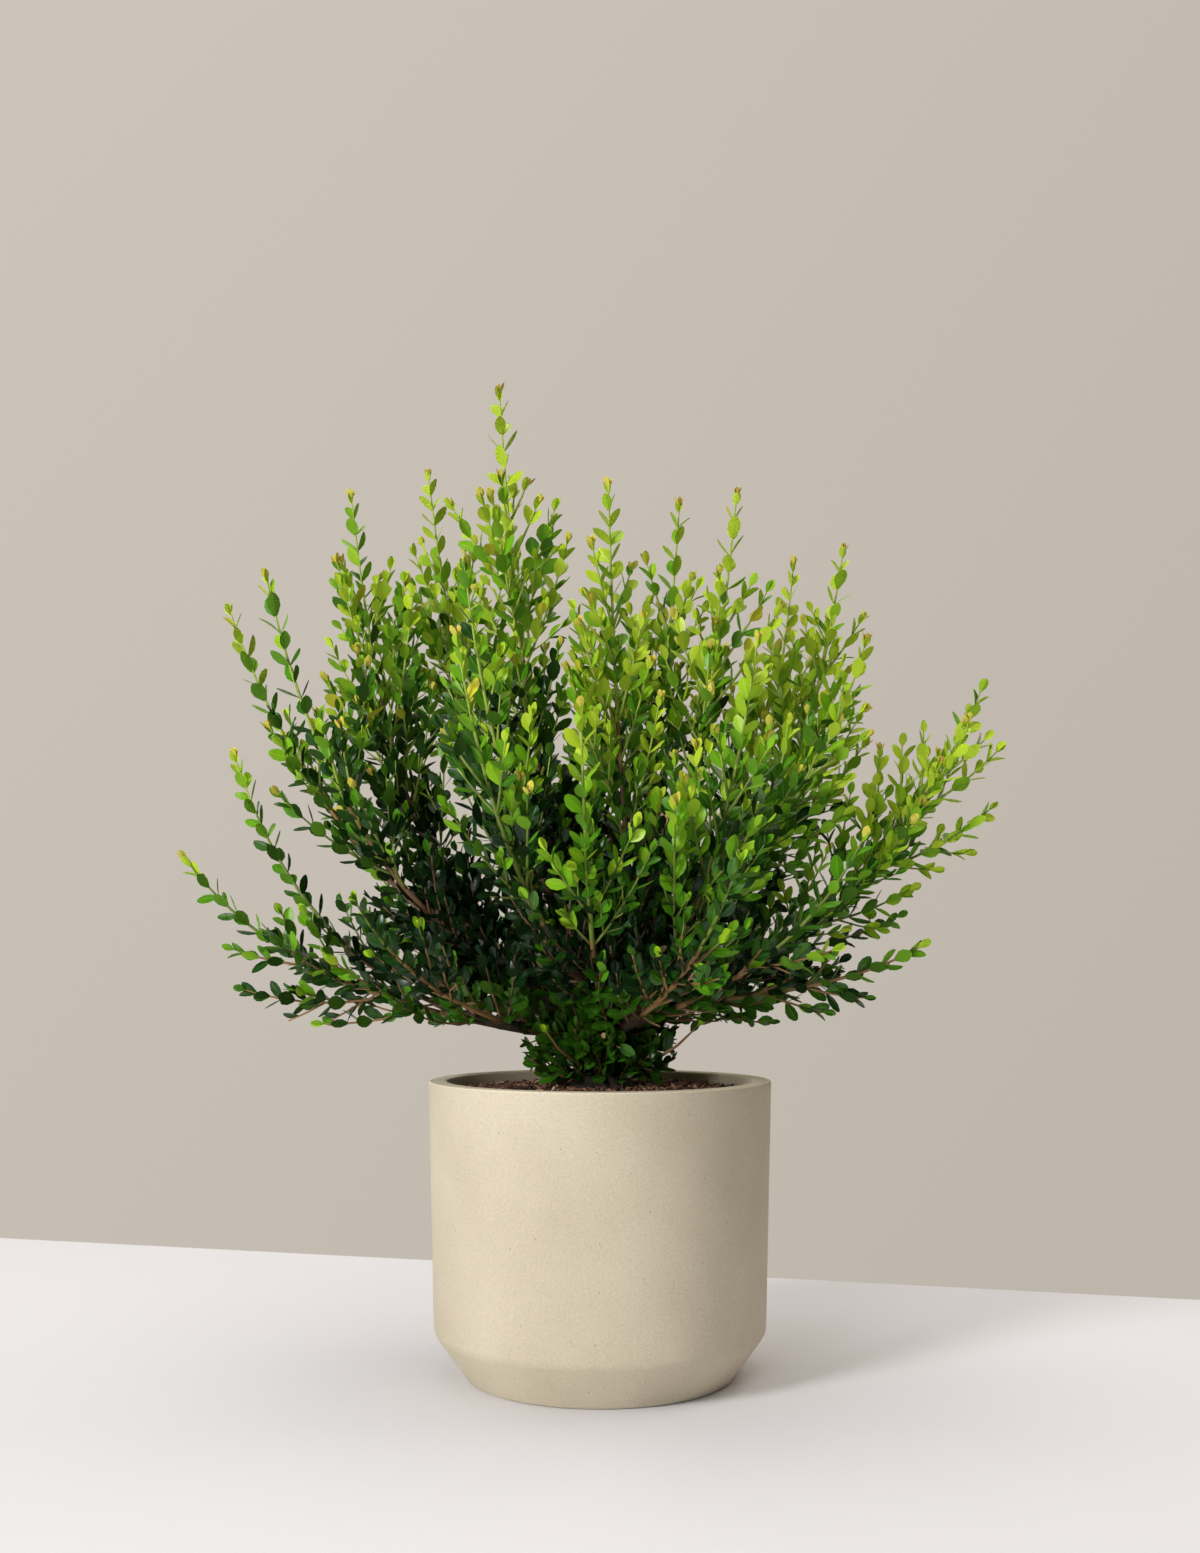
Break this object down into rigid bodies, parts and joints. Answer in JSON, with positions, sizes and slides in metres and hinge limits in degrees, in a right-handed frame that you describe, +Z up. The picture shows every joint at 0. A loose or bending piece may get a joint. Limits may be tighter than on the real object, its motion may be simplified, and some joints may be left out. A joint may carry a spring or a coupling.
{
  "type": "potted boxwood shrub",
  "caption": "Young small-leaved evergreen shrub with loose upright wands of opposite leaves, growing from a short trunk in a plain round stoneware planter with a chamfered foot.",
  "frame": {"origin": "centre of the planter's flat underside", "axes": "+Z up, +X to the right of the shrub's front, -Y out of the shrub's front; the planter is round about the Z axis"},
  "size_m": [0.6424, 0.508, 0.7794],
  "materials": {
    "pot": "matte sandy stoneware with fine pinholes",
    "soil": "loose dark bark mulch",
    "bark": "rough grey-brown bark",
    "foliage": "semi-gloss small leaves"
  },
  "bodies": {
    "root": {"pot": "pot", "soil": "soil", "trunk": "bark", "bough_low_left": "bark", "bough_left_wand": "bark", "bough_front_left_low": "bark", "bough_left_tall": "bark", "bough_left_spray": "bark", "bough_upper_left": "bark", "bough_top_wand": "bark", "bough_back_left_tall": "bark", "bough_inner_left": "bark", "bough_front_mid": "bark", "bough_front_left_mid": "bark", "bough_front_right_low": "bark", "bough_front_right_mid": "bark", "bough_lower_right": "bark", "bough_far_right": "bark", "bough_low_right": "bark", "bough_right_centre": "bark", "bough_centre": "bark", "bough_right_mid": "bark", "bough_back_right_low": "bark", "bough_right_wand": "bark", "bough_back_right_tall": "bark", "bough_back_mid": "bark", "bough_centre_right": "bark", "bough_back_low": "bark", "bough_back_left_low": "bark", "foliage_low_left": "foliage", "foliage_left_wand": "foliage", "foliage_front_left_low": "foliage", "foliage_left_tall": "foliage", "foliage_left_spray": "foliage", "foliage_upper_left": "foliage", "foliage_top_wand": "foliage", "foliage_back_left_tall": "foliage", "foliage_inner_left": "foliage", "foliage_front_mid": "foliage", "foliage_front_left_mid": "foliage", "foliage_front_right_low": "foliage", "foliage_front_right_mid": "foliage", "foliage_lower_right": "foliage", "foliage_far_right": "foliage", "foliage_low_right": "foliage", "foliage_right_centre": "foliage", "foliage_centre": "foliage", "foliage_right_mid": "foliage", "foliage_back_right_low": "foliage", "foliage_right_wand": "foliage", "foliage_back_right_tall": "foliage", "foliage_back_mid": "foliage", "foliage_centre_right": "foliage", "foliage_back_low": "foliage", "foliage_back_left_low": "foliage", "foliage_base_left": "foliage", "foliage_base_right": "foliage", "foliage_heart_left": "foliage", "foliage_heart_front": "foliage", "foliage_heart_right": "foliage"}
  },
  "joints": []
}
